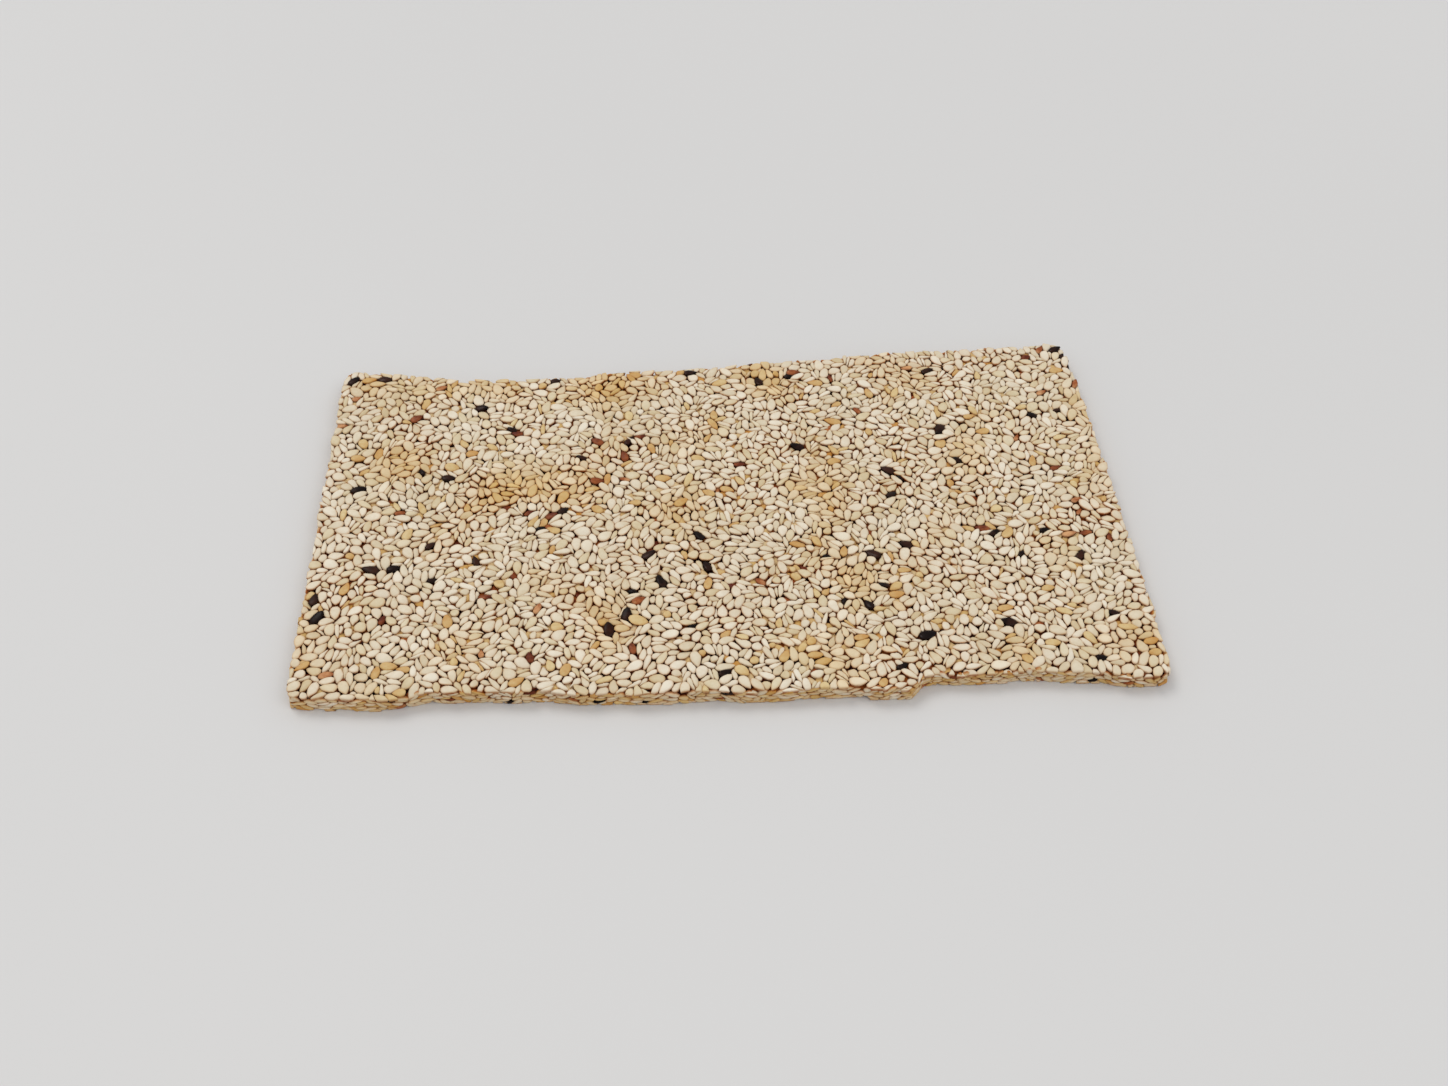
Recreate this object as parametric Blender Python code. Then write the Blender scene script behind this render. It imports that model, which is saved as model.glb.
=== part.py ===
"""A thin sheet of sesame brittle lying flat, with its rolled face up.

The sheet was rolled out warm and cut by hand, so no edge is quite straight.  Its long back edge
bows inward, its front edge steps back where a strip has snapped off, and the rolled face keeps
the soft relief of the seeds under it.  The underside is flat, because the sheet cooled on a board.

X runs along the sheet, Y from its front edge to its back edge and Z up.  The origin is on the
underside, at the middle of the sheet's outline.  All sizes are in metres.
"""

import math

import bmesh
import bpy
from mathutils import Vector, noise

COLLECTION = "sesame_brittle"
NODE = "brittle_slab"

# Driving sizes.
LENGTH = 0.1442
WIDTH = 0.0812
THICKNESS = 0.0035

# Each long edge as (place along the sheet, distance in from the widest outline), as shares of
# the length and of the width.  Places run from -0.5 at the left end to 0.5 at the right end.
BACK_EDGE = (
    (-0.50, 0.010),
    (-0.45, 0.018),
    (-0.39, 0.038),
    (-0.33, 0.055),
    (-0.23, 0.060),
    (-0.10, 0.047),
    (0.10, 0.028),
    (0.28, 0.010),
    (0.42, 0.005),
    (0.50, 0.000),
)
FRONT_EDGE = (
    (-0.50, 0.039),
    (-0.40, 0.030),
    (-0.33, 0.041),
    (-0.24, 0.034),
    (-0.12, 0.016),
    (0.12, 0.010),
    (0.203, 0.000),
    (0.219, 0.032),
    (0.36, 0.030),
    (0.41, 0.022),
    (0.45, 0.008),
    (0.50, 0.010),
)

# The short ends lean in towards the back by these distances, and bow out between.
LEFT_LEAN = 0.0014
RIGHT_LEAN = 0.0020
LEFT_BOW = 0.0000
RIGHT_BOW = 0.0005
CORNER_RADIUS = 0.0018

# The soft relief of the rolled face: long swells and lumps a seed or two wide.
SWELL_DEPTH = 0.00022
SWELL_SIZE = 0.026
SWELL_LAYER = 7.0
LUMP_DEPTH = 0.00016
LUMP_SIZE = 0.0046
LUMP_LAYER = 1.0

# The cut edges: a worn shoulder, an upright side and a foot that tucks in a little.
SHOULDER_DROP = 0.00045
SHOULDER_INSET = 0.00035
ROLLED_RIM_DROP = 0.00010
FOOT_INSET = 0.00020
RAGGED_DEPTH = 0.00020
RAGGED_SIZE = 0.0040

# The mesh: cells along and across the rolled face.
CELLS_ALONG = 64
CELLS_ACROSS = 36
SHARP_ANGLE = math.radians(40.0)

COLOUR = (0.62, 0.49, 0.31, 1.0)
ROUGHNESS = 0.42


def clear_scene():
    for thing in list(bpy.data.objects):
        bpy.data.objects.remove(thing, do_unlink=True)


def smooth_step(t):
    return t * t * (3.0 - 2.0 * t)


def inset_at(edge, place):
    """How far in from the widest outline an edge lies at a place along the sheet, as a share."""
    for (start, inset_start), (end, inset_end) in zip(edge, edge[1:]):
        if place <= end:
            t = max(0.0, (place - start) / (end - start))
            return inset_start + (inset_end - inset_start) * smooth_step(t)
    return edge[-1][1]


def relief(x, y, depth, size, layer):
    """A soft bump or hollow of the given depth, about one size across."""
    return depth * noise.noise(Vector((x / size, y / size, layer)))


def rolled_face_point(u, v):
    """The point of the rolled face at u along and v across the sheet, each from -0.5 to 0.5."""
    towards_back = v + 0.5
    bow = math.sin(math.pi * towards_back)
    left = -0.5 * LENGTH + LEFT_LEAN * towards_back - LEFT_BOW * bow
    right = 0.5 * LENGTH - RIGHT_LEAN * towards_back + RIGHT_BOW * bow
    front = -0.5 * WIDTH + WIDTH * inset_at(FRONT_EDGE, u)
    back = 0.5 * WIDTH - WIDTH * inset_at(BACK_EDGE, u)
    x = left + (right - left) * (u + 0.5)
    y = front + (back - front) * towards_back
    swell = relief(x, y, SWELL_DEPTH, SWELL_SIZE, SWELL_LAYER)
    lump = relief(x, y, LUMP_DEPTH, LUMP_SIZE, LUMP_LAYER)
    return Vector((x, y, THICKNESS + swell + lump))


def make_rolled_face(mesh):
    """A grid bent to the sheet's outline and relief."""
    bmesh.ops.create_grid(mesh, x_segments=CELLS_ALONG, y_segments=CELLS_ACROSS, size=0.5)
    for vertex in mesh.verts:
        vertex.co = rolled_face_point(vertex.co.x, vertex.co.y)


def round_corners(mesh):
    """Pulls the four sharp corners of the outline back onto arcs."""
    for vertex in mesh.verts:
        if len(vertex.link_edges) != 2:
            continue
        neighbours = [edge.other_vert(vertex).co for edge in vertex.link_edges]
        inward = (sum(neighbours, Vector()) / 2.0 - vertex.co).normalized()
        vertex.co += inward * CORNER_RADIUS * (math.sqrt(2.0) - 1.0)


def outward(vertex, rim):
    """The level direction that points out of the sheet at a point of its rim."""
    ends = [edge.other_vert(vertex).co for edge in vertex.link_edges if edge in rim]
    along = ends[1] - ends[0]
    across = Vector((along.y, -along.x, 0.0)).normalized()
    return across if across.dot(vertex.co) > 0.0 else -across


def points_of(rim):
    return list(dict.fromkeys(vertex for edge in rim for vertex in edge.verts))


def shift_rim(rim, distance):
    """Moves a rim out by a distance, or in by a negative one, with a ragged wander on top."""
    edges = set(rim)
    points = points_of(rim)
    ways = [outward(point, edges) for point in points]
    for point, way in zip(points, ways):
        level = point.co.z / RAGGED_SIZE
        wander = relief(point.co.x, point.co.y, RAGGED_DEPTH, RAGGED_SIZE, level)
        point.co += way * (distance + wander)


def lowered_rim(mesh, rim, height):
    """Copies a rim at another height and joins the copy to it with a band of faces."""
    made = bmesh.ops.extrude_edge_only(mesh, edges=rim)["geom"]
    copy = [item for item in made if isinstance(item, bmesh.types.BMEdge)]
    for point in points_of(copy):
        point.co.z = height
    return copy


def make_sides(mesh):
    """Carries the rim of the rolled face down to the underside, and returns the lowest rim."""
    rim = [edge for edge in mesh.edges if edge.is_boundary]
    for point in points_of(rim):
        point.co.z -= ROLLED_RIM_DROP
    shift_rim(rim, -SHOULDER_INSET)
    steps = (
        (THICKNESS - SHOULDER_DROP, SHOULDER_INSET),
        (0.5 * THICKNESS, 0.0),
        (0.0, -FOOT_INSET),
    )
    for height, distance in steps:
        rim = lowered_rim(mesh, rim, height)
        shift_rim(rim, distance)
    return rim


def centre_outline(mesh):
    """Puts the origin at the middle of the outline, on the underside."""
    xs = [vertex.co.x for vertex in mesh.verts]
    ys = [vertex.co.y for vertex in mesh.verts]
    middle = Vector((0.5 * (min(xs) + max(xs)), 0.5 * (min(ys) + max(ys)), 0.0))
    bmesh.ops.translate(mesh, vec=-middle, verts=mesh.verts)


def brittle_material():
    material = bpy.data.materials.new("sesame_brittle")
    material.use_nodes = True
    shader = material.node_tree.nodes["Principled BSDF"]
    shader.inputs["Base Color"].default_value = COLOUR
    shader.inputs["Roughness"].default_value = ROUGHNESS
    shader.inputs["Metallic"].default_value = 0.0
    return material


def make_slab(collection):
    mesh = bmesh.new()
    make_rolled_face(mesh)
    round_corners(mesh)
    lowest_rim = make_sides(mesh)
    bmesh.ops.contextual_create(mesh, geom=lowest_rim)
    bmesh.ops.recalc_face_normals(mesh, faces=mesh.faces)
    centre_outline(mesh)
    data = bpy.data.meshes.new(NODE)
    mesh.to_mesh(data)
    mesh.free()
    data.materials.append(brittle_material())
    data.shade_smooth()
    data.set_sharp_from_angle(angle=SHARP_ANGLE)
    collection.objects.link(bpy.data.objects.new(NODE, data))


def main():
    clear_scene()
    collection = bpy.data.collections.new(COLLECTION)
    bpy.context.scene.collection.children.link(collection)
    make_slab(collection)


main()
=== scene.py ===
"""Looks of a thin sheet of sesame brittle: pale seeds pressed into clear toffee.

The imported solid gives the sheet's outline, thickness and faces. Over a core of toffee drawn a
little inside it, this script lays the seeds as pebbles that press against each other: on the
rolled face, round the cut edges and on the underside. Lengths are in metres.
"""

import math

import bpy
import numpy as np
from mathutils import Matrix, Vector, noise
from mathutils.bvhtree import BVHTree


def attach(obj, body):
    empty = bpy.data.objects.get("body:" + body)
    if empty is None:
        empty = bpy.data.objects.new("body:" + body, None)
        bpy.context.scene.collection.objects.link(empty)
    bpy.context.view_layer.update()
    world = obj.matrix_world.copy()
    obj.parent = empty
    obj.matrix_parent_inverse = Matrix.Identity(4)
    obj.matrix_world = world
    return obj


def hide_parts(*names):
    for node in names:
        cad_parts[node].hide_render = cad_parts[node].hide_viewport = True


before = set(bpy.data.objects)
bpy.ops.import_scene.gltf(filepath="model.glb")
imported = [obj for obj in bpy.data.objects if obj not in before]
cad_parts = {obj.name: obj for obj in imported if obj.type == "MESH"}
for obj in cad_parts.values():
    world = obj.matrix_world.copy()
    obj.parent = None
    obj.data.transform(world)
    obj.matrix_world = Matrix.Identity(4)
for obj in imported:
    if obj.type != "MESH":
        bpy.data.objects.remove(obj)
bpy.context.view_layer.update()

MM = 0.001
NODE = "brittle_slab"
SHEET = 3.5 * MM  # the sheet's general thickness; its swells rise a little above it

# A sesame seed lying flat, and how much the seeds differ.
SEED_LENGTH = 2.96 * MM
SEED_WIDTH = 1.70 * MM
SEED_HEIGHT = 0.90 * MM
LENGTH_SPREAD = 0.34 * MM
WIDTH_SPREAD = 0.25 * MM
ON_EDGE_SHARE = 0.28
BROKEN_SHARE = 0.12
ON_EDGE_WIDTH = (0.95 * MM, 1.35 * MM)
TIP_DARKER = 0.20  # how much a seed's tone falls from its middle to its tip

# How tightly they lie: the seeds' own area over the area they share, and the seam between them.
FULLNESS = 1.52
SEAM = 0.0
TOFFEE_DEPTH = 0.60 * MM  # from the seeds' tops down to the toffee between them
PIT_DEPTH = 0.45 * MM  # how much deeper it lies where it has drained away
CORE_FOOT = 0.22 * MM  # the height of the core's lower side, over the seeds of the underside

# The layer of seeds below, where it shows: how far down its tops lie, and the share of the
# ground about a place that the upper seeds must leave open.
LOWER_TOPS = (0.36 * MM, 0.60 * MM)
LEAST_GAP = 0.64
GAP_STEP = 0.15 * MM


# ------------------------------------------------------------------ the solid


class Slab:
    """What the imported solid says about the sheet: its outline and the height of its top."""

    def __init__(self, node):
        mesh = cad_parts[node].data
        self.points = np.array([v.co for v in mesh.vertices])
        self.edges = np.array([e.vertices for e in mesh.edges])
        self.tree = BVHTree.FromPolygons(
            [v.co for v in mesh.vertices], [tuple(p.vertices) for p in mesh.polygons]
        )
        self.outline = self.outline_at(0.5 * SHEET)

    def outline_at(self, height):
        """The outline at a height, in order round it, anticlockwise from above."""
        ends = self.points[self.edges]
        above = ends[:, :, 2] > height
        ends = ends[above[:, 0] != above[:, 1]]
        share = (height - ends[:, 0, 2]) / (ends[:, 1, 2] - ends[:, 0, 2])
        found = ends[:, 0, :2] + share[:, None] * (ends[:, 1, :2] - ends[:, 0, :2])
        found = np.unique(np.round(found, 7), axis=0)
        return found[np.argsort(np.arctan2(found[:, 1], found[:, 0]))]

    def top_at(self, places):
        """The height of the rolled face over each place, or its general level past the edge."""
        heights = []
        for x, y in places:
            hit = self.tree.ray_cast(Vector((x, y, 2.0 * SHEET)), Vector((0.0, 0.0, -1.0)))[0]
            heights.append(SHEET if hit is None or hit.z < 0.85 * SHEET else hit.z)
        return np.array(heights)


class InsideField:
    """How far inside the outline a place lies, from a fine grid. Outside, it is negative."""

    STEP = 0.35 * MM
    MARGIN = 5.0 * MM

    def __init__(self, outline):
        self.low = outline.min(0) - self.MARGIN
        size = outline.max(0) + self.MARGIN - self.low
        self.counts = np.ceil(size / self.STEP).astype(int) + 1
        xs, ys = (self.low[i] + self.STEP * np.arange(self.counts[i]) for i in (0, 1))
        x, y = np.meshgrid(xs, ys, indexing="ij")
        nearest = np.full(x.shape, np.inf)
        inside = np.zeros(x.shape, bool)
        for (ax, ay), (bx, by) in zip(outline, np.roll(outline, -1, axis=0)):
            dx, dy = bx - ax, by - ay
            t = np.clip(((x - ax) * dx + (y - ay) * dy) / (dx * dx + dy * dy), 0.0, 1.0)
            nearest = np.minimum(nearest, (x - ax - t * dx) ** 2 + (y - ay - t * dy) ** 2)
            if ay != by:
                inside ^= ((ay > y) != (by > y)) & (x < ax + (y - ay) / (by - ay) * dx)
        self.depth = np.sqrt(nearest) * np.where(inside, 1.0, -1.0)
        self.slope = np.stack(np.gradient(self.depth, self.STEP), axis=-1)

    def read(self, grid, places):
        """The grid's value at each place, blended from the four points round it."""
        at = np.clip((places - self.low) / self.STEP, 0.0, self.counts - 1.001)
        i, j = np.floor(at[..., 0]).astype(int), np.floor(at[..., 1]).astype(int)
        u, v = at[..., 0] - i, at[..., 1] - j
        if grid.ndim == 3:
            u, v = u[..., None], v[..., None]
        near = grid[i, j] * (1 - u) + grid[i + 1, j] * u
        far = grid[i, j + 1] * (1 - u) + grid[i + 1, j + 1] * u
        return near * (1 - v) + far * v

    def depth_at(self, places):
        return self.read(self.depth, places)

    def pull_in(self, places, overhang):
        """Moves places that stick out past the outline by more than the overhang back to it."""
        excess = np.minimum(self.depth_at(places) + overhang, 0.0)
        way = self.read(self.slope, places)
        way = way / np.maximum(np.linalg.norm(way, axis=-1, keepdims=True), 1e-9)
        return places - way * excess[..., None]


# ------------------------------------------------------------------ laying seeds

# A seed from above as discs along its axis, from the blunt end to the tip: place from the middle
# in half lengths, radius in half widths.
DISCS = ((-0.44, 0.90), (-0.04, 1.00), (0.44, 0.74), (0.78, 0.32))
NEAR = 3.7 * MM
PUSH = 0.35  # the share of an overlap that one round of pushing clears
RANK_REACH = 0.40 * MM  # how far a seed may lie over one of much lower rank
LEAST_SHARE = 0.22
OUTLINE_POINTS = 14
ROUNDING = 3  # how often an outline's corners are smoothed once it is pressed


class Bed:
    """Seeds laid in a plane: middle, direction of the tip, length, width and rank, from 0 for
    the seeds that others lie over to 1 for those that lie over the others."""

    def __init__(self, rng, low, high, lengths, widths, turns):
        self.count = len(lengths)
        self.low, self.high = np.array(low), np.array(high)
        self.places = rng.uniform(self.low, self.high, (self.count, 2))
        self.turns, self.lengths, self.widths = turns, lengths, widths
        self.ranks = rng.random(self.count)
        self.held = np.zeros(self.count, bool)

    def hold(self, picks):
        """Puts the first seeds at chosen places: (x, y, direction in degrees, length) in mm."""
        for index, (x, y, way, length) in enumerate(picks):
            self.places[index] = x * MM, y * MM
            self.turns[index] = math.radians(way)
            self.lengths[index] = length * MM
            self.widths[index] = 0.57 * length * MM
            self.ranks[index] = 0.95 if length > 2.35 else 0.65
            self.held[index] = True

    def discs(self, grown=1.0):
        """The discs' middles (seed, disc, 2) and radii (seed, disc)."""
        places, radii = (np.array(column) for column in zip(*DISCS))
        axis = np.stack([np.cos(self.turns), np.sin(self.turns)], axis=1)
        offset = 0.5 * grown * self.lengths[:, None] * places
        middles = self.places[:, None] + offset[..., None] * axis[:, None]
        return middles, 0.5 * grown * self.widths[:, None] * radii

    def overlaps(self, pairs, grown=1.0):
        """For each pair of seeds, each disc of one against each of the other: how deep they
        overlap, and the direction from the first to the second."""
        middles, radii = self.discs(grown)
        apart = middles[pairs[:, 1]][:, None] - middles[pairs[:, 0]][:, :, None]
        distance = np.maximum(np.linalg.norm(apart, axis=-1), 1e-7)
        reach = radii[pairs[:, 0]][:, :, None] + radii[pairs[:, 1]][:, None]
        return reach - distance, apart / distance[..., None]

    def settle(self, rounds, level=0.0):
        """Grows the seeds to full size while they push and turn each other. level is how fast
        they turn back to lie along the first axis."""
        for step in range(rounds):
            grown = min(1.0, 0.70 + 0.45 * step / rounds)
            if step % 6 == 0:
                pairs = near_pairs(self.places, NEAR)
            depth, way = self.overlaps(pairs, grown)
            touching = depth.max((1, 2)) > 0.0
            depth, way = np.maximum(depth[touching], 0.0), way[touching]
            first, second = pairs[touching].T
            share = depth**2 / (depth**2).sum((1, 2), keepdims=True)
            push = (share * depth)[..., None] * way
            arms = self.discs(grown)[0] - self.places[:, None]
            twist_first = cross(arms[first][:, :, None], -push).sum((1, 2))
            twist_second = cross(arms[second][:, None], push).sum((1, 2))
            total = push.sum((1, 2))
            move = tally(second, total, self.count) - tally(first, total, self.count)
            twist = tally(first, twist_first, self.count) + tally(second, twist_second, self.count)
            free = ~self.held
            self.places[free] += PUSH * move[free]
            self.places = np.clip(self.places, self.low, self.high)
            turn = np.clip(PUSH * twist / (0.30 * self.lengths) ** 2, -0.2, 0.2)
            turn -= level * np.sin(self.turns) * np.cos(self.turns)
            self.turns[free] += turn[free]

    def drops(self, rng, points=OUTLINE_POINTS):
        """Each seed's outline round its middle: a drop, a little bent, its tip first."""
        round_way = np.linspace(0.0, 2.0 * math.pi, points, endpoint=False)
        taper = rng.uniform(0.20, 0.75, (self.count, 1))
        breadth = np.sin(round_way) * np.abs(np.sin(0.5 * round_way)) ** taper
        breadth /= np.abs(breadth).max(axis=1, keepdims=True)
        along = np.broadcast_to(np.cos(round_way), breadth.shape)
        bend = rng.normal(0.0, 0.07, (self.count, 1)) * (along**2 - 0.5)
        uneven = rng.normal(1.0, 0.025, breadth.shape)
        x = 0.5 * self.lengths[:, None] * along * uneven
        y = 0.5 * self.widths[:, None] * (breadth * uneven + bend)
        c, s = np.cos(self.turns)[:, None], np.sin(self.turns)[:, None]
        return np.stack([x * c - y * s, x * s + y * c], axis=-1)

    def press(self, outlines):
        """Draws each outline in to where its neighbours press on it, leaving a seam between
        them. The seed of higher rank keeps more of what two seeds share."""
        pairs = near_pairs(self.places, NEAR)
        own = np.concatenate([pairs[:, 0], pairs[:, 1]])
        other = np.concatenate([pairs[:, 1], pairs[:, 0]])
        favour = RANK_REACH * np.tanh(3.0 * (self.ranks[own] - self.ranks[other]))[:, None]
        middles, radii = self.discs()
        inner = np.full(outlines.shape[:2], LEAST_SHARE)
        outer = np.ones(outlines.shape[:2])
        share = outer
        for _ in range(8):
            points = self.places[:, None] + outlines * share[..., None]
            within = disc_distance(points, middles, radii)
            beyond = disc_distance(points[own], middles[other], radii[other])
            room = np.full(outlines.shape[:2], np.inf)
            np.minimum.at(room, own, np.maximum(beyond - within[own] + favour, beyond))
            fits = room > SEAM
            inner = np.where(fits, share, inner)
            outer = np.where(fits, outer, share)
            share = 0.5 * (inner + outer)
        for _ in range(ROUNDING):
            softened = 0.5 * share + 0.25 * (np.roll(share, 1, 1) + np.roll(share, -1, 1))
            share = np.minimum(share, softened)
        return outlines * share[..., None]


def disc_distance(points, middles, radii):
    """How far each point (seed, point, 2) is from its seed's nearest disc: negative inside."""
    distance = np.full(points.shape[:2], np.inf)
    for disc in range(len(DISCS)):
        away = np.linalg.norm(points - middles[:, disc, None], axis=-1)
        distance = np.minimum(distance, away - radii[:, disc, None])
    return distance


def cross(a, b):
    return a[..., 0] * b[..., 1] - a[..., 1] * b[..., 0]


def tally(index, values, count):
    """Sums the values that share an index."""
    if values.ndim == 1:
        return np.bincount(index, values, count)
    return np.stack([np.bincount(index, v, count) for v in values.T], axis=1)


def near_pairs(places, reach):
    """Index pairs of places within reach of each other."""
    order = np.argsort(places[:, 0], kind="stable")
    in_order = places[order]
    found = []
    for step in range(1, len(order)):
        apart = in_order[step:] - in_order[:-step]
        if apart[:, 0].min() > reach:
            break
        close = (apart**2).sum(1) < reach**2
        found.append(np.stack([order[:-step][close], order[step:][close]], axis=1))
    return np.concatenate(found)


def outline_areas(outlines):
    return 0.5 * np.abs(cross(outlines, np.roll(outlines, -1, 1)).sum(1))


# ------------------------------------------------------------------ pebbles

# A pebble as rings of its outline, from below to its top: (share of the outline, height in half
# heights, how much toffee shows, which also paints shade into the seams). Its end caps follow.
FACE_RINGS = ((0.84, -0.70, 1.20), (1.00, 0.54, 0.74), (0.93, 0.80, 0.46), (0.68, 0.96, 0.06))
EDGE_RINGS = ((0.80, -0.70, 0.90), (1.00, 0.05, 0.90), (0.88, 0.70, 0.45), (0.50, 0.97, 0.08))
LOWER_RINGS = ((1.00, -0.40, 0.90), (0.92, 0.55, 0.75), (0.62, 0.95, 0.20))
FLAT_RINGS = ((1.00, -0.60, 0.45), (1.00, 0.20, 0.80), (0.84, 0.90, 0.25))


class Pebbles:
    """Closed pebbles of one kind of ring, each in its own frame: across in x and y, up in z."""

    def __init__(self, outlines, half_heights, rings):
        count, points = outlines.shape[:2]
        shares, heights, toffee_and_seam_shade = (np.array(column) for column in zip(*rings))
        body = np.empty((count, len(rings), points, 3))
        body[..., :2] = outlines[:, None] * shares[:, None, None]
        body[..., 2] = half_heights[:, None, None] * heights[:, None]
        caps = np.zeros((count, 2, 3))
        caps[:, :, :2] = outlines.mean(1)[:, None]
        caps[:, 0, 2] = half_heights * (heights[0] - 0.10)
        caps[:, 1, 2] = half_heights * (heights[-1] + 0.05)
        self.vertices = np.concatenate([body.reshape(count, -1, 3), caps], axis=1)
        # how much toffee shows at each vertex's ring, and with it painted shade in the seams between seeds
        self.toffee_and_seam_shade = np.concatenate([np.repeat(toffee_and_seam_shade, points), [toffee_and_seam_shade[0], toffee_and_seam_shade[-1]]])
        self.toffee_and_seam_shade[-1] = 0.0
        towards_tip = np.cos(np.linspace(0.0, 2.0 * math.pi, points, endpoint=False))
        self.tips = np.concatenate([np.outer(shares, towards_tip).ravel(), [0.0, 0.0]])
        self.faces = ring_faces(len(rings), points)
        self.layout = cell_layout(self.faces, len(rings), points)

    def turn_over(self):
        """Swaps the inside and the outside, for pebbles that are mirrored to face down."""
        self.faces, self.layout = self.faces[:, ::-1], self.layout[:, ::-1]

    def tilt(self, rng, spread):
        slope = rng.normal(0.0, spread, (len(self.vertices), 1, 2))
        self.vertices[..., 2] += (self.vertices[..., :2] * slope).sum(-1)


def ring_faces(rings, points):
    """Triangles between stacked rings, then to the cap below and the cap above."""
    k = np.arange(points)
    after = (k + 1) % points
    faces = []
    for level in range(rings - 1):
        a, b = level * points + k, level * points + after
        faces += [np.stack([a, b, b + points], 1), np.stack([a, b + points, a + points], 1)]
    last, bottom = (rings - 1) * points, rings * points
    faces.append(np.stack([after, k, np.full(points, bottom)], 1))
    faces.append(np.stack([last + k, last + after, np.full(points, bottom + 1)], 1))
    return np.concatenate(faces)


def cell_layout(faces, rings, points):
    """Where a pebble's face corners lie in its cell of a UV map, which is 1.5 wide and 1 high:
    the top as a disc, and beside it the underside as a narrower one."""
    vertex = np.arange(rings * points + 2)
    level = np.minimum(vertex // points, rings)
    level[-2:] = -1, rings  # the caps below and above
    angle = 2.0 * math.pi * (vertex % points) / points
    way = np.stack([np.cos(angle), np.sin(angle)], axis=1)
    from_top = np.clip((rings - level) / (rings - 1), 0.0, 1.0)[:, None]
    from_bottom = np.clip((level + 1) / 2.0, 0.0, 1.0)[:, None]
    on_top = np.array((0.5, 0.5)) + 0.46 * from_top * way
    below = np.array((1.25, 0.5)) + np.array((0.22, 0.46)) * from_bottom * way
    upper = level[faces].min(1) > 0
    return np.where(upper[:, None, None], on_top[faces], below[faces])


def lay_out(mesh, layout, count):
    """Gives the mesh a UV map with a cell for each pebble, for baking its colours."""
    columns = math.ceil(math.sqrt(count / 1.5))
    rows = math.ceil(count / columns)
    cell = np.stack([1.5 * (np.arange(count) % columns), np.arange(count) // columns], axis=1)
    places = layout[None] + cell[:, None, None]
    places /= (1.5 * columns, rows)
    mesh.uv_layers.new(name="OFBake").uv.foreach_set("vector", places.astype(np.float32).ravel())


def joined(name, pebbles, vertices, shades, material):
    """One mesh of many pebbles. shades is (pebble, vertex, 3): tone, rim and amber, where the rim
    holds toffee and painted shade in the seams.
    """
    count, each = vertices.shape[:2]
    mesh = bpy.data.meshes.new(name)
    all_faces = (pebbles.faces + each * np.arange(count)[:, None, None]).reshape(-1, 3)
    mesh.vertices.add(count * each)
    mesh.vertices.foreach_set("co", vertices.astype(np.float32).ravel())
    mesh.loops.add(all_faces.size)
    mesh.loops.foreach_set("vertex_index", all_faces.astype(np.int32).ravel())
    mesh.polygons.add(len(all_faces))
    mesh.polygons.foreach_set("loop_start", np.arange(0, all_faces.size, 3, dtype=np.int32))
    mesh.polygons.foreach_set("use_smooth", np.ones(len(all_faces), bool))
    colour = mesh.attributes.new("seed", "FLOAT_COLOR", "POINT")
    rgba = np.ones((count * each, 4), np.float32)
    rgba[:, :3] = shades.reshape(-1, 3)
    colour.data.foreach_set("color", rgba.ravel())
    mesh.update(calc_edges=True)
    lay_out(mesh, pebbles.layout, count)
    mesh.materials.append(material)
    piece = bpy.data.objects.new(name, mesh)
    bpy.context.scene.collection.objects.link(piece)
    print(name, count, "seeds,", len(all_faces), "triangles")
    return piece


# ------------------------------------------------------------------ materials


def tint(red, green, blue):
    """A colour as a screen shows it, each part from 0 to 255, in linear light."""
    def one(value):
        value /= 255.0
        return value / 12.92 if value <= 0.04045 else ((value + 0.055) / 1.055) ** 2.4
    return (one(red), one(green), one(blue), 1.0)


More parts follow.
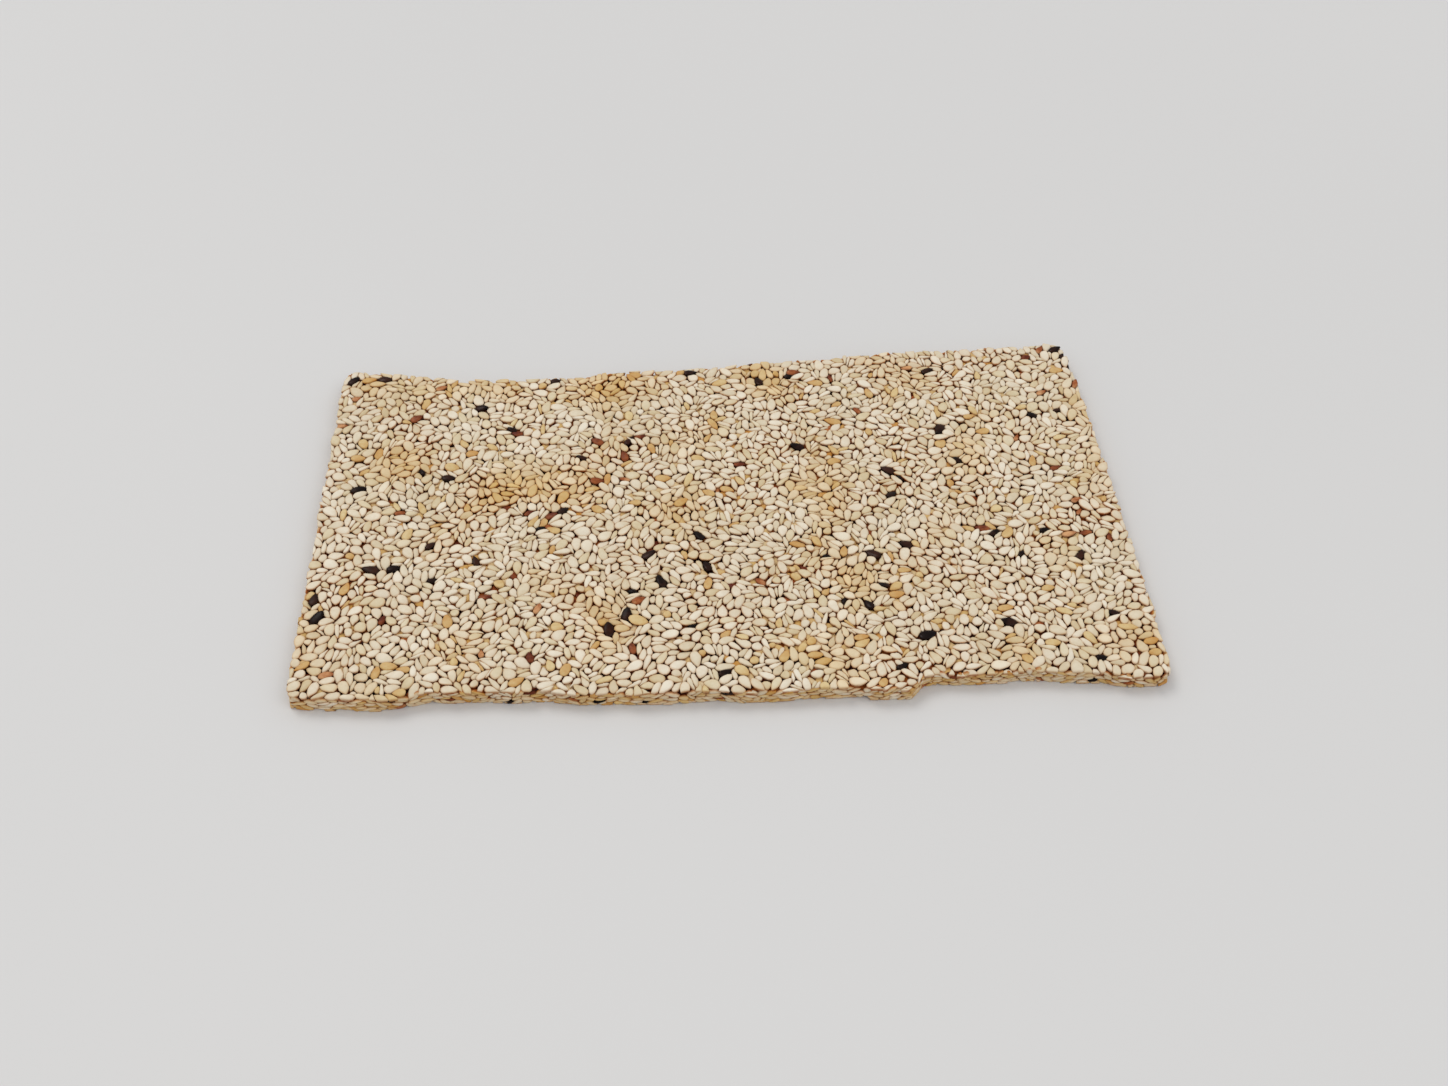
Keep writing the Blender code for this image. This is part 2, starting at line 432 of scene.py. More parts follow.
class Shader:
    """A short way to write a node material round its own Principled shader."""

    def __init__(self, name):
        self.material = bpy.data.materials.new(name)
        self.material.use_nodes = True
        self.tree = self.material.node_tree
        self.principled = self.tree.nodes["Principled BSDF"]
        self.space = self.tree.nodes.new("ShaderNodeTexCoord")

    def feed(self, socket, value):
        """Sets a socket to a constant, or links it to another node's output."""
        if isinstance(value, (int, float, tuple)):
            socket.default_value = value
        else:
            self.tree.links.new(value, socket)

    def set(self, name, value):
        self.feed(self.principled.inputs[name], value)

    def noise(self, scale, detail=2.0):
        """A noise pattern fixed to the piece, with about scale patches to the metre."""
        node = self.tree.nodes.new("ShaderNodeTexNoise")
        node.inputs["Scale"].default_value = scale
        node.inputs["Detail"].default_value = detail
        self.feed(node.inputs["Vector"], self.space.outputs["Object"])
        return node.outputs["Fac"]

    def spread(self, value, source, target):
        """Maps one range of values to another."""
        node = self.tree.nodes.new("ShaderNodeMapRange")
        for name, number in zip(("From Min", "From Max", "To Min", "To Max"), source + target):
            node.inputs[name].default_value = number
        self.feed(node.inputs["Value"], value)
        return node.outputs["Result"]

    def sum(self, a, b):
        return self.math("ADD", a, b)

    def product(self, a, b):
        return self.math("MULTIPLY", a, b)

    def math(self, operation, a, b):
        node = self.tree.nodes.new("ShaderNodeMath")
        node.operation = operation
        self.feed(node.inputs[0], a)
        self.feed(node.inputs[1], b)
        return node.outputs[0]

    def mix(self, share, a, b, blend="MIX"):
        node = self.tree.nodes.new("ShaderNodeMix")
        node.data_type, node.blend_type = "RGBA", blend
        for index, value in ((0, share), (6, a), (7, b)):
            self.feed(node.inputs[index], value)
        return node.outputs[2]

    def ramp(self, value, stops):
        node = self.tree.nodes.new("ShaderNodeValToRGB")
        elements = node.color_ramp.elements
        while len(elements) < len(stops):
            elements.new(0.5)
        for element, (place, colour) in zip(elements, stops):
            element.position, element.color = place, colour
        self.feed(node.inputs["Fac"], value)
        return node.outputs["Color"]

    def bump(self, height, strength, distance):
        node = self.tree.nodes.new("ShaderNodeBump")
        node.inputs["Strength"].default_value = strength
        node.inputs["Distance"].default_value = distance
        self.feed(node.inputs["Height"], height)
        self.set("Normal", node.outputs["Normal"])


AMBER = tint(241, 210, 139)
CARAMEL = tint(208, 145, 58)
# a darker caramel for the seams between seeds: toffee there, and painted shade
DEEP_CARAMEL_AND_SEAM_SHADE = tint(148, 64, 4)


def seed_material(
    name, tones, rim_colour=CARAMEL, deep_colour_and_seam_shade=DEEP_CARAMEL_AND_SEAM_SHADE, rough=(0.36, 0.54), coat=0.03,
    specular=0.12
):
    """Seeds in a film of sugar. The attribute "seed" holds each seed's tone, how much toffee
    shows at its rim, which also paints shade into the seams between seeds, and how thick a drop
    of amber toffee lies over it."""
    made = Shader(name)
    attribute = made.tree.nodes.new("ShaderNodeAttribute")
    attribute.attribute_name = "seed"
    parts = made.tree.nodes.new("ShaderNodeSeparateColor")
    made.feed(parts.inputs["Color"], attribute.outputs["Color"])
    tone, rim, amber = parts.outputs
    stops = [(i / (len(tones) - 1), colour) for i, colour in enumerate(tones)]
    blotches = made.spread(made.noise(1500.0), (0.3, 0.7), (-0.16, 0.16))
    colour = made.ramp(made.sum(tone, blotches), stops)
    colour = made.mix(made.product(amber, 0.85), colour, AMBER, "MULTIPLY")
    uneven = made.spread(made.noise(900.0), (0.3, 0.7), (0.6, 1.1))
    shown = made.product(rim, uneven)
    # the rim turns to caramel toffee, and where most shows, deep in the seams, to a darker caramel: toffee and
    # painted shade
    colour = made.mix(made.product(shown, 0.82), colour, rim_colour)
    colour = made.mix(made.spread(shown, (0.40, 0.92), (0.0, 0.9)), colour, deep_colour_and_seam_shade)
    made.set("Base Color", colour)
    made.set("Roughness", made.spread(made.noise(700.0), (0.35, 0.65), rough))
    made.set("Specular IOR Level", specular)
    made.set("Coat Weight", coat)
    made.set("Coat Roughness", 0.22)
    made.bump(made.noise(4200.0), 0.25, 0.04 * MM)
    return made.material


def toffee_material():
    """Toffee: golden where it lies thin against the board, and darker the deeper it lies, by
    the attribute "pit". The darkening in the pits is painted shade, over a red-brown of the toffee
    itself."""
    made = Shader("toffee")
    attribute = made.tree.nodes.new("ShaderNodeAttribute")
    attribute.attribute_name = "pit"
    depth = made.sum(attribute.outputs["Fac"], made.spread(made.noise(600.0), (0.3, 0.7), (-0.15, 0.15)))
    # from golden toffee to near black: the dark end is painted shade in the deep pits
    browns_and_pit_shade = [
        (0.0, tint(188, 142, 86)), (0.10, tint(154, 84, 28)), (0.45, tint(104, 38, 8)),
        (0.75, tint(44, 10, 2)),
    ]
    made.set("Base Color", made.ramp(depth, browns_and_pit_shade))
    made.set("Roughness", made.spread(made.noise(900.0), (0.3, 0.7), (0.35, 0.55)))
    made.set("Specular IOR Level", 0.08)
    made.bump(made.noise(1300.0, 3.0), 0.5, 0.2 * MM)
    return made.material


def floor_material():
    made = Shader("pale_floor")
    made.set("Base Color", made.ramp(made.noise(2.5), [(0.3, tint(213, 212, 211)), (0.7, tint(216, 215, 214))]))
    made.set("Roughness", 0.55)
    made.set("Specular IOR Level", 0.25)
    return made.material


KINDS = {
    "ivory_seeds": ("hulled_seed", seed_material(
        "ivory_seeds", (tint(216, 202, 177), tint(225, 213, 191), tint(235, 226, 207)))),
    "cream_seeds": ("hulled_seed", seed_material(
        "cream_seeds", (tint(210, 194, 164), tint(219, 206, 180), tint(229, 218, 196)))),
    "straw_seeds": ("hulled_seed", seed_material(
        "straw_seeds", (tint(206, 187, 150), tint(215, 200, 167), tint(225, 212, 184)))),
    "golden_seeds": ("golden_seed", seed_material(
        "golden_seeds", (tint(198, 152, 92), tint(208, 178, 124), tint(220, 200, 154)))),
    "russet_seeds": ("russet_seed", seed_material(
        "russet_seeds", (tint(92, 36, 18), tint(158, 88, 48), tint(214, 164, 116)),
        rim_colour=tint(104, 48, 20), deep_colour_and_seam_shade=tint(50, 20, 8))),
    "dark_seeds": ("dark_seed", seed_material(
        "dark_seeds", (tint(14, 9, 8), tint(24, 14, 11), tint(60, 34, 24)),
        rim_colour=tint(20, 11, 8), deep_colour_and_seam_shade=tint(14, 8, 5), rough=(0.20, 0.34), coat=0.0,
        specular=0.08)),
}
IVORY, CREAM, STRAW, GOLDEN, RUSSET, DARK = range(len(KINDS))


def add_seeds(prefix, pebbles, vertices, kinds, tones, amber, film_and_seam_shade=1.0):
    """Makes one piece for each kind of seed, each seed a little darker towards its tip. film
    is how strongly the toffee, and with it the painted shade in the seams, shows round each seed."""
    shades = np.empty(vertices.shape)
    shades[..., 0] = np.clip(tones[:, None] - TIP_DARKER * pebbles.tips, 0.0, 1.0)
    shades[..., 1] = np.clip(np.outer(np.broadcast_to(film_and_seam_shade, len(vertices)), pebbles.toffee_and_seam_shade), 0.0, 1.0)
    shades[..., 2] = amber[:, None]
    for index, (name, (slot, material)) in enumerate(KINDS.items()):
        chosen = kinds == index
        if chosen.any():
            piece = joined(prefix + name, pebbles, vertices[chosen], shades[chosen], material)
            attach(piece, "root")


def patches(places, size, layer):
    """Smooth noise over places, from about -1 to 1, in patches about one size across."""
    return np.array([noise.noise(Vector((x / size, y / size, layer))) for x, y in places])


# ------------------------------------------------------------------ the rolled face

# The unhulled seeds that stand out on the rolled face, read off the sheet: x to the right
# and y to the back from its middle, direction in degrees, length; in millimetres.
DARK_SEEDS = (
    (-69, 37, 50, 2.8), (-63, 37, 0, 2.9), (-37, 36, 160, 2.4), (-30, 35, 0, 2.4), (-4, 36, 10, 2.6),
    (9, 33, 110, 2.6), (15, 34, 0, 2.0), (42, 34, 20, 2.6), (68, 39, 20, 2.6), (69, 37, 60, 1.6),
    (-44, 28, 0, 2.6), (-38, 22, 150, 2.4), (60, 21, 150, 2.3), (65, 22, 20, 1.7), (-16, 18, 60, 2.9),
    (42, 18, 245, 3.3), (-25, 14, 160, 2.1), (15, 15, 160, 2.8), (34, 15, 60, 1.6), (21, 13, 150, 1.5),
    (-54, 12, 120, 1.8), (-49, 10, 0, 2.6), (-51, 8, 120, 1.8), (-65, 8, 20, 3.0), (44, 10, 140, 2.0),
    (31, 8, 150, 2.9), (33, 6, 130, 1.8), (31, 2, 45, 2.5), (-28, 1, 40, 2.4), (-45, -1, 130, 2.1),
    (-32, -3, 10, 2.1), (-51, -6, 40, 2.4), (-4, -6, 130, 2.7), (48, -8, 30, 2.0), (57, -8, 0, 2.3),
    (32, -10, 160, 2.6), (-43, -10, 110, 2.5), (-13, -10, 30, 2.9), (-61, -11, 165, 3.2),
    (-57, -11, 15, 2.6), (18, -12, 0, 1.9), (26, -12, 145, 3.3), (-3, -13, 110, 2.8), (52, -13, 30, 2.0),
    (62, -14, 60, 2.5), (-50, -14, 0, 2.3), (-11, -16, 110, 3.1), (-16, -18, 160, 2.0),
    (-70, -17, 80, 2.7), (27, -19, 160, 2.5), (-69, -21, 50, 3.2), (20, -22, 80, 2.0),
    (24, -23, 120, 2.5), (-17, -23, 80, 3.0), (-20, -26, 95, 3.2), (-6, -26, 10, 2.2),
    (65, -27, 160, 2.2), (47, -28, 165, 2.8), (33, -30, 10, 3.2), (37, -32, 15, 1.9), (-1, -36, 30, 2.5),
    (28, -36, 20, 2.2), (61, -36, 0, 2.0),
)
RUSSET_SEEDS = (
    (-52, 34, 20, 2.6), (-68, 32, 10, 2.5), (-56, 26, 30, 2.8), (-70, 25, 0, 2.6), (-37, 21, 160, 2.8),
    (-57, 2, 0, 2.5), (-22, 18, 150, 2.7), (12, 11, 140, 2.4), (27, 24, 120, 2.4), (-30, 0, 20, 2.6),
    (-34, 1, 20, 2.5), (-17, 14, 110, 2.9), (-22, 8, 0, 2.9), (-17, 8, 170, 2.5), (16, 35, 0, 2.9),
    (23, 33, 100, 2.5), (38, 35, 175, 2.4), (62, 37, 10, 2.8), (65, 39, 60, 2.5), (70, 29, 70, 2.6),
    (63, 27, 20, 2.2), (56, 15, 60, 2.2), (62, 7, 15, 3.0), (64, -1, 10, 2.9), (64, -4, 60, 2.5),
    (61, -9, 5, 2.9), (64, -9, 175, 2.7), (46, -7, 160, 2.9), (-66, -33, 10, 2.9), (-33, -31, 110, 2.6),
    (-32, -21, 60, 2.8), (-16, -30, 110, 2.8), (-15, -20, 20, 2.9), (6, -17, 140, 2.3), (68, -10, 90, 2.5),
    (-41, -18, 0, 2.8), (-58, -22, 70, 2.3), (-41, -30, 95, 2.6), (-14, 19, 10, 2.8), (4, 11, 0, 2.8),
)
GOLDEN_SEEDS = (
    (-66, 16, 0, 2.9), (-65, -15, 70, 3.1), (-47, -23, 100, 3.1), (-58, -33, 80, 2.7), (-35, -36, 20, 2.9),
    (-7, 2, 30, 2.9), (-2, 4, 150, 2.8), (0, 24, 90, 2.6), (-3, -17, 80, 3.0), (-27, -34, 60, 2.9),
    (-10, 8, 0, 3.0), (50, 17, 170, 2.8), (48, 21, 20, 2.7), (67, 33, 0, 2.9), (58, 9, 80, 2.7),
    (29, -21, 0, 2.8), (9, -33, 60, 2.9), (14, -33, 0, 2.8), (21, -11, 80, 3.0), (31, -16, 0, 2.5),
    (22, -30, 10, 2.8), (47, -25, 5, 2.9), (55, -21, 0, 2.5), (70, -33, 10, 2.9), (-66, 37, 0, 3.0),
)

# Where thick toffee shows golden: x, y, reach in millimetres, and how strong.
AMBER_PLACES = (
    (-66, 36, 4.0, 1.0), (-40, 33, 6.0, 0.6), (12, 33, 5.0, 0.7), (-44, 9, 8.0, 0.8), (-28, 8, 7.0, 0.8),
    (-55, 37, 6.0, 0.6), (-24, 36, 6.0, 0.6), (-6, 37, 6.0, 0.6), (30, 38, 5.0, 0.5), (-58, 14, 6.0, 0.5),
    (-12, 3, 6.0, 0.6), (13, 5, 3.0, 0.9), (26, -33, 2.4, 1.0), (30, -24, 2.0, 1.2), (49, -33, 3.5, 0.8),
    (66, 4, 5.0, 0.4), (68, 28, 4.0, 0.4), (34, 27, 2.0, 0.6), (-57, -23, 3.0, 0.6), (21, -17, 6.0, 0.4),
)


def face_bed(rng, slab):
    """The seeds of the rolled face, laid past the outline on all sides."""
    margin = 2.6 * MM
    low, high = slab.outline.min(0) - margin, slab.outline.max(0) + margin
    count = int(FULLNESS * np.prod(high - low) / (0.72 * SEED_LENGTH * SEED_WIDTH))
    lengths = np.clip(rng.normal(SEED_LENGTH, LENGTH_SPREAD, count), 2.0 * MM, 3.7 * MM)
    widths = np.clip(rng.normal(SEED_WIDTH, WIDTH_SPREAD, count), 1.3 * MM, 2.4 * MM)
    on_edge = rng.random(count) < ON_EDGE_SHARE
    widths[on_edge] = rng.uniform(*ON_EDGE_WIDTH, on_edge.sum())
    lengths[rng.random(count) < BROKEN_SHARE] *= 0.55
    bed = Bed(rng, low, high, lengths, widths, np.zeros(count))
    bed.turns = 3.0 * math.pi * patches(bed.places, 9 * MM, 1.0) + rng.normal(0.0, 0.6, count)
    bed.hold(DARK_SEEDS + RUSSET_SEEDS + GOLDEN_SEEDS)
    russet = slice(len(DARK_SEEDS), len(DARK_SEEDS) + len(RUSSET_SEEDS))
    bed.ranks[russet] = rng.uniform(0.30, 0.80, len(RUSSET_SEEDS))
    bed.settle(130)
    return bed


def cut_to_outline(rng, field, bed, outlines, least_area):
    """Cuts the seeds along the sheet's edge. Returns the kept seeds' indices, middles and
    outlines."""
    world = bed.places[:, None] + outlines
    overhang = rng.uniform(-0.10 * MM, 0.22 * MM, (bed.count, 1))
    world = field.pull_in(world, overhang)
    places = world.mean(1)
    outlines = world - places[:, None]
    inside = field.depth_at(places) > -0.1 * MM
    kept = np.flatnonzero(inside & (outline_areas(outlines) > least_area))
    return kept, places[kept], outlines[kept]


def amber_over(places):
    total = np.zeros(len(places))
    for x, y, reach, strength in AMBER_PLACES:
        away = np.linalg.norm(places - (x * MM, y * MM), axis=1) / (reach * MM)
        total += strength * np.exp(-away**2)
    return total


def rolled_face(slab, field):
    rng = np.random.default_rng(11)
    bed = face_bed(rng, slab)
    kept, places, outlines = cut_to_outline(rng, field, bed, bed.press(bed.drops(rng)), 0.7 * MM * MM)
    count = len(kept)
    on_edge = bed.widths[kept] < ON_EDGE_WIDTH[1]
    half = 0.5 * SEED_HEIGHT * rng.normal(1.0, 0.08, count) * np.where(on_edge, 1.2, 1.0)
    pebbles = Pebbles(outlines, half, FACE_RINGS)
    pebbles.tilt(rng, 0.09)
    tops = slab.top_at(places) - rng.uniform(0.0, 0.08 * MM, count)
    tops += 0.30 * MM * (bed.ranks[kept] - 0.65)
    vertices = pebbles.vertices
    vertices[..., 2] += (tops - half)[:, None]
    vertices[..., :2] += places[:, None]

    kinds = rng.choice(len(KINDS), count, p=(0.40, 0.38, 0.18, 0.04, 0.0, 0.0))
    ends = np.cumsum([len(DARK_SEEDS), len(RUSSET_SEEDS), len(GOLDEN_SEEDS)])
    for kind, start, end in zip((DARK, RUSSET, GOLDEN), (0, *ends), ends):
        kinds[(kept >= start) & (kept < end)] = kind
    tones = rng.normal(0.50, 0.20, count) + 0.20 * patches(places, 24 * MM, 3.0)
    # seeds that lie over others are paler and cleaner of toffee, those under them darker, partly painted shade
    tones = np.clip(tones + 0.45 * (bed.ranks[kept] - 0.5), 0.0, 1.0)
    tones[(kinds == GOLDEN) & (kept < ends[-1])] *= 0.4
    russet = kinds == RUSSET
    tones[russet] = rng.uniform(0.0, 1.0, russet.sum())
    amber = amber_over(places) + 1.2 * patches(places, 13 * MM, 9.0) - 0.15
    amber = np.clip(amber, 0.0, 1.0) * rng.uniform(0.5, 1.0, count)
    # how strongly toffee, and with it painted seam shade, shows round each seed, in patches
    film_and_seam_shade = np.clip(0.86 + 0.60 * patches(places, 10 * MM, 13.0) + 0.25 * amber, 0.45, 1.30)
    add_seeds("", pebbles, vertices, kinds, tones, amber, film_and_seam_shade)
    return places, outlines


def blurred(grid, reach, rounds):
    """The grid with each value shared out over its neighbours, up to reach away each round."""
    shifts = range(-reach, reach + 1)
    for axis in (0, 1) * rounds:
        grid = sum(np.roll(grid, shift, axis) for shift in shifts) / len(shifts)
    return grid


def gap_middles(slab, field, places, outlines):
    """The middles of the gaps between seeds, given as outlines round their places."""
    low, high = slab.outline.min(0), slab.outline.max(0)
    axes = [np.arange(low[i], high[i], GAP_STEP) for i in (0, 1)]
    grid = np.stack(np.meshgrid(*axes, indexing="ij"), axis=-1)
    open_ground = field.depth_at(grid) > 0.5 * MM
    for place, outline in zip(places, outlines):
        first = ((place + outline.min(0) - low) / GAP_STEP).astype(int)
        last = ((place + outline.max(0) - low) / GAP_STEP).astype(int) + 2
        window = tuple(slice(max(a, 0), b) for a, b in zip(first, last))
        away = grid[window] - place
        reach = np.interp(
            np.arctan2(away[..., 1], away[..., 0]), np.arctan2(outline[:, 1], outline[:, 0]),
            np.hypot(outline[:, 0], outline[:, 1]), period=2.0 * math.pi
        )
        open_ground[window] &= np.hypot(away[..., 0], away[..., 1]) > reach
    share = blurred(open_ground.astype(float), 2, 1)
    free = share > LEAST_GAP
    apart = int(1.0 * MM / GAP_STEP)
    middles = []
    for spot in np.argsort(-share, axis=None, kind="stable")[: free.sum()]:
        i, j = np.unravel_index(spot, share.shape)
        if free[i, j]:
            middles.append(grid[i, j])
            free[max(i - apart, 0) : i + apart, max(j - apart, 0) : j + apart] = False
    return np.array(middles)


def lower_layer(slab, field, places, outlines):
    """The seeds of the layer below that show in the gaps between the upper ones."""
    rng = np.random.default_rng(53)
    middles = gap_middles(slab, field, places, outlines)
    count = len(middles)
    lengths = rng.uniform(2.1 * MM, 2.9 * MM, count)
    widths = rng.uniform(1.2 * MM, 1.7 * MM, count)
    bed = Bed(rng, field.low, field.low + 1.0, lengths, widths, rng.uniform(0.0, 2.0 * math.pi, count))
    bed.places = middles
    outlines = bed.press(bed.drops(rng))
    world = field.pull_in(middles[:, None] + outlines, -0.25 * MM)
    outlines = world - middles[:, None]
    half = rng.uniform(0.38 * MM, 0.45 * MM, count)
    pebbles = Pebbles(outlines, half, LOWER_RINGS)
    pebbles.tilt(rng, 0.10)
    tops = slab.top_at(middles) - rng.uniform(*LOWER_TOPS, count)
    vertices = pebbles.vertices
    vertices[..., 2] += (tops - half)[:, None]
    vertices[..., :2] += middles[:, None]
    kinds = rng.choice(len(KINDS), count, p=(0.0, 0.50, 0.30, 0.12, 0.08, 0.0))
    tones = np.clip(rng.normal(0.30, 0.20, count), 0.0, 1.0)
    amber = rng.uniform(0.3, 1.0, count)
    add_seeds("lower_", pebbles, vertices, kinds, tones, amber)


# ------------------------------------------------------------------ the core, edges and underside


def toffee_core(slab, field):
    """The toffee under the seeds: the sheet drawn in on all sides, its top pitted."""
    step = 0.55 * MM
    (x_low, y_low), (x_high, y_high) = slab.outline.min(0), slab.outline.max(0)
    xs, ys = np.arange(x_low, x_high + step, step), np.arange(y_low, y_high + step, step)
    grid = np.stack(np.meshgrid(xs, ys, indexing="ij"), axis=-1)
    places = field.pull_in(grid, -0.45 * MM).reshape(-1, 2)
    pits = 0.45 + 2.6 * patches(places, 1.2 * MM, 5.0) + 0.6 * patches(places, 18 * MM, 6.0)
    pits = np.clip(pits, 0.25, 1.0)
    top = slab.top_at(places) - TOFFEE_DEPTH - PIT_DEPTH * pits
    index = np.arange(len(places)).reshape(len(xs), len(ys))
    quads = np.stack([index[:-1, :-1], index[1:, :-1], index[1:, 1:], index[:-1, 1:]], axis=-1)
    rim = np.concatenate([index[:, 0], index[-1, 1:], index[-2::-1, -1], index[0, -2:0:-1]])
    low = len(places) + np.arange(len(rim))
    wall = np.stack([np.roll(rim, -1), rim, low, np.roll(low, -1)], axis=-1)
    points = np.column_stack([places, top])
    bottom_middle = low[-1] + 1
    bottom = np.stack([np.roll(low, -1), low, np.full(len(rim), bottom_middle)], axis=-1)
    low_places = np.concatenate([places[rim], [slab.outline.mean(0)]])
    low_points = np.column_stack([low_places, np.full(len(low_places), CORE_FOOT)])
    faces = quads.reshape(-1, 4).tolist() + wall.tolist() + bottom.tolist()
    mesh = bpy.data.meshes.new("toffee_core")
    mesh.from_pydata(np.concatenate([points, low_points]).tolist(), [], faces)
    mesh.shade_smooth()
    mesh.set_sharp_from_angle(angle=math.radians(70.0))
    # how deep each point lies, which the toffee material turns into painted shade
    attribute = mesh.attributes.new("pit", "FLOAT", "POINT")
    depths = np.concatenate([pits, np.full(len(low_places), -0.1)])
    attribute.data.foreach_set("value", depths.astype(np.float32))
    mesh.materials.append(toffee_material())
    piece = bpy.data.objects.new("toffee_core", mesh)
    bpy.context.scene.collection.objects.link(piece)
    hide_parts(NODE)
    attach(piece, "root")


class Rim:
    """The outline as a path: the place and the outward direction at each length along it."""

    def __init__(self, outline):
        closed = np.concatenate([outline, outline[:1]])
        steps = np.linalg.norm(np.diff(closed, axis=0), axis=1)
        self.at = np.concatenate([[0.0], np.cumsum(steps)])
        self.length = self.at[-1]
        self.closed = closed

    def place(self, along):
        along = np.mod(along, self.length)
        return np.stack([np.interp(along, self.at, self.closed[:, i]) for i in (0, 1)], axis=-1)

    def outward(self, along):
        reach = 0.4 * MM
        way = self.place(along + reach) - self.place(along - reach)
        way = way / np.maximum(np.linalg.norm(way, axis=-1, keepdims=True), 1e-12)
        return np.stack([way[..., 1], -way[..., 0]], axis=-1)


def cut_edges(slab):
    """The seeds that show on the cut edges, lying flat in the sheet and seen from their sides."""
    rng = np.random.default_rng(23)
    rim = Rim(slab.outline)
    low, high = (0.0, 0.42 * MM), (rim.length, SHEET - 1.10 * MM)
    count = int(1.40 * rim.length * (high[1] - low[1] + 0.8 * MM) / (0.75 * 2.5 * MM * 0.9 * MM))
    lengths = np.clip(rng.normal(2.5 * MM, 0.45 * MM, count), 1.2 * MM, 3.4 * MM)
    widths = np.clip(rng.normal(0.92 * MM, 0.14 * MM, count), 0.6 * MM, 1.4 * MM)
    turns = math.pi * rng.integers(0, 2, count) + rng.normal(0.0, 0.2, count)
    bed = Bed(rng, low, high, lengths, widths, turns)
    bed.settle(90, level=0.04)
    outlines = bed.press(bed.drops(rng))
    kept = outline_areas(outlines) > 0.3 * MM * MM
    count = int(kept.sum())
    places, outlines = bed.places[kept], outlines[kept]
    half = rng.uniform(0.30 * MM, 0.45 * MM, count)
    pebbles = Pebbles(outlines, half, EDGE_RINGS)
    pebbles.tilt(rng, 0.06)
    along = pebbles.vertices[..., 0] + places[:, :1]
    out = pebbles.vertices[..., 2] - half[:, None] + rng.uniform(-0.10, 0.10, (count, 1)) * MM
    vertices = np.empty(pebbles.vertices.shape)
    vertices[..., :2] = rim.place(along) + rim.outward(along) * out[..., None]
    vertices[..., 2] = np.maximum(pebbles.vertices[..., 1] + places[:, 1:], 0.02 * MM)
    kinds = rng.choice(len(KINDS), count, p=(0.36, 0.42, 0.0, 0.16, 0.04, 0.02))
    tones = np.clip(rng.normal(0.40, 0.25, count), 0.0, 1.0)
    amber = np.clip(rng.normal(0.45, 0.30, count), 0.0, 1.0)
    add_seeds("edge_", pebbles, vertices, kinds, tones, amber)


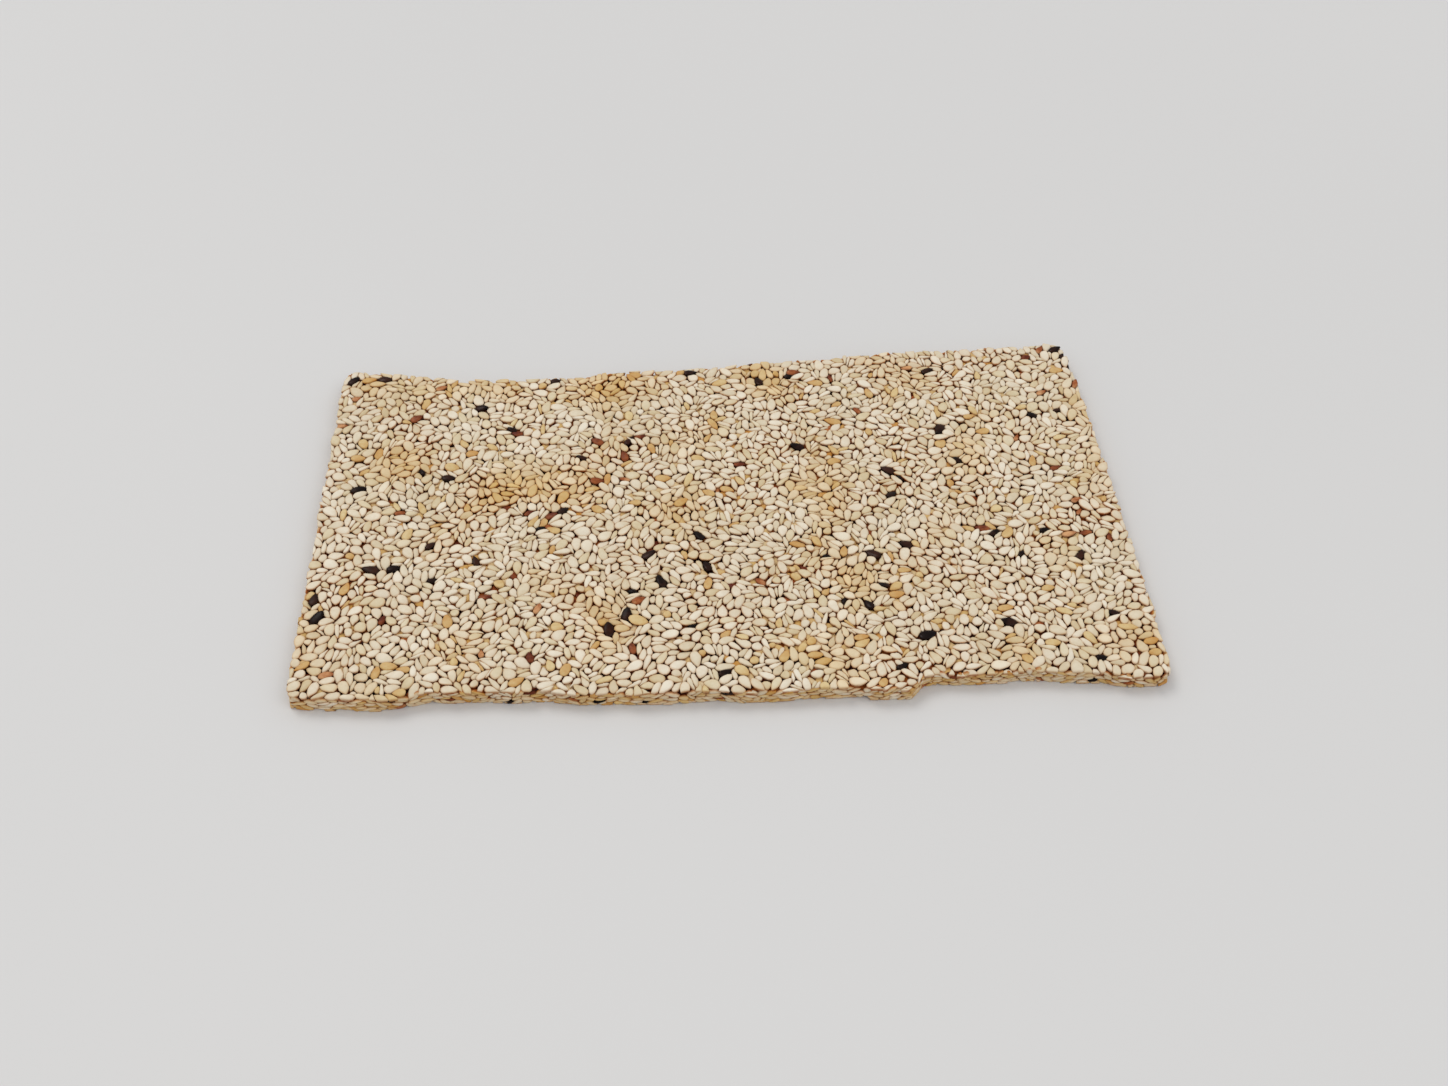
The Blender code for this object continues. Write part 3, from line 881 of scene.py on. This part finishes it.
def underside(slab, field):
    """The seeds pressed flat against the board, flush with the toffee."""
    rng = np.random.default_rng(37)
    margin = 2.0 * MM
    low, high = slab.outline.min(0) - margin, slab.outline.max(0) + margin
    count = int(1.15 * np.prod(high - low) / (0.72 * SEED_LENGTH * SEED_WIDTH))
    lengths = np.clip(rng.normal(SEED_LENGTH, LENGTH_SPREAD, count), 2.0 * MM, 3.7 * MM)
    widths = np.clip(rng.normal(SEED_WIDTH, WIDTH_SPREAD, count), 1.3 * MM, 2.3 * MM)
    bed = Bed(rng, low, high, lengths, widths, rng.uniform(0.0, 2.0 * math.pi, count))
    bed.settle(50)
    drops = bed.drops(rng, points=10)
    kept, places, outlines = cut_to_outline(rng, field, bed, bed.press(drops), 0.8 * MM * MM)
    count = len(kept)
    pebbles = Pebbles(outlines, np.full(count, 0.22 * MM), FLAT_RINGS)
    vertices = pebbles.vertices
    vertices[..., :2] += places[:, None]
    sunk = rng.uniform(0.0, 0.10 * MM, (count, 1))
    vertices[..., 2] = np.maximum(0.22 * MM - vertices[..., 2] + sunk, 0.0)
    kinds = rng.choice(len(KINDS), count, p=(0.30, 0.50, 0.0, 0.17, 0.02, 0.01))
    tones = np.clip(rng.normal(0.35, 0.22, count), 0.0, 1.0)
    amber = np.clip(0.4 + 1.0 * patches(places, 14 * MM, 21.0), 0.0, 1.0)
    pebbles.turn_over()
    add_seeds("underside_", pebbles, vertices, kinds, tones, amber)


# ------------------------------------------------------------------ the room

VIEW_WIDTH = 1448  # the view's width for a focal length of FOCAL_LENGTH, in the same unit
FOCAL_LENGTH = 1500


def make_camera():
    data = bpy.data.cameras.new("camera")
    data.sensor_width = 36.0
    data.lens = data.sensor_width * FOCAL_LENGTH / VIEW_WIDTH
    data.clip_start = 0.01
    camera = bpy.data.objects.new("camera", data)
    camera.location = (-8.75 * MM, -179.56 * MM, SHEET + 198.8 * MM)
    camera.rotation_euler = (math.radians(40.8), 0.0, math.radians(-3.0))
    bpy.context.scene.collection.objects.link(camera)
    bpy.context.scene.camera = camera


def make_soft_light(name, place, spread, strength, colour):
    """A wide soft light so far off, in the direction of place, that it lights all the floor
    alike. spread is how many degrees it looks across."""
    data = bpy.data.lights.new(name, "SUN")
    data.angle, data.energy, data.color = math.radians(spread), strength, colour
    light = bpy.data.objects.new(name, data)
    light.location = place
    light.rotation_euler = (-Vector(place)).to_track_quat("-Z", "Y").to_euler()
    bpy.context.scene.collection.objects.link(light)


def make_room():
    world = bpy.data.worlds.new("soft_room")
    world.use_nodes = True
    backdrop = world.node_tree.nodes["Background"]
    backdrop.inputs["Color"].default_value = (0.985, 0.99, 1.0, 1.0)
    backdrop.inputs["Strength"].default_value = 0.66
    bpy.context.scene.world = world
    make_soft_light("key", (-0.45, 0.55, 0.95), 28.0, 0.88, (1.0, 0.985, 0.955))
    make_soft_light("fill", (0.55, -0.35, 0.85), 44.0, 0.44, (0.98, 0.99, 1.0))
    bpy.context.scene.view_settings.view_transform = "Standard"
    bpy.ops.mesh.primitive_plane_add(size=60.0)
    floor = bpy.context.object
    floor.name = "floor"
    floor.data.materials.append(floor_material())


def main():
    make_camera()
    make_room()
    slab = Slab(NODE)
    field = InsideField(slab.outline)
    places, outlines = rolled_face(slab, field)
    lower_layer(slab, field, places, outlines)
    cut_edges(slab)
    underside(slab, field)
    toffee_core(slab, field)


main()
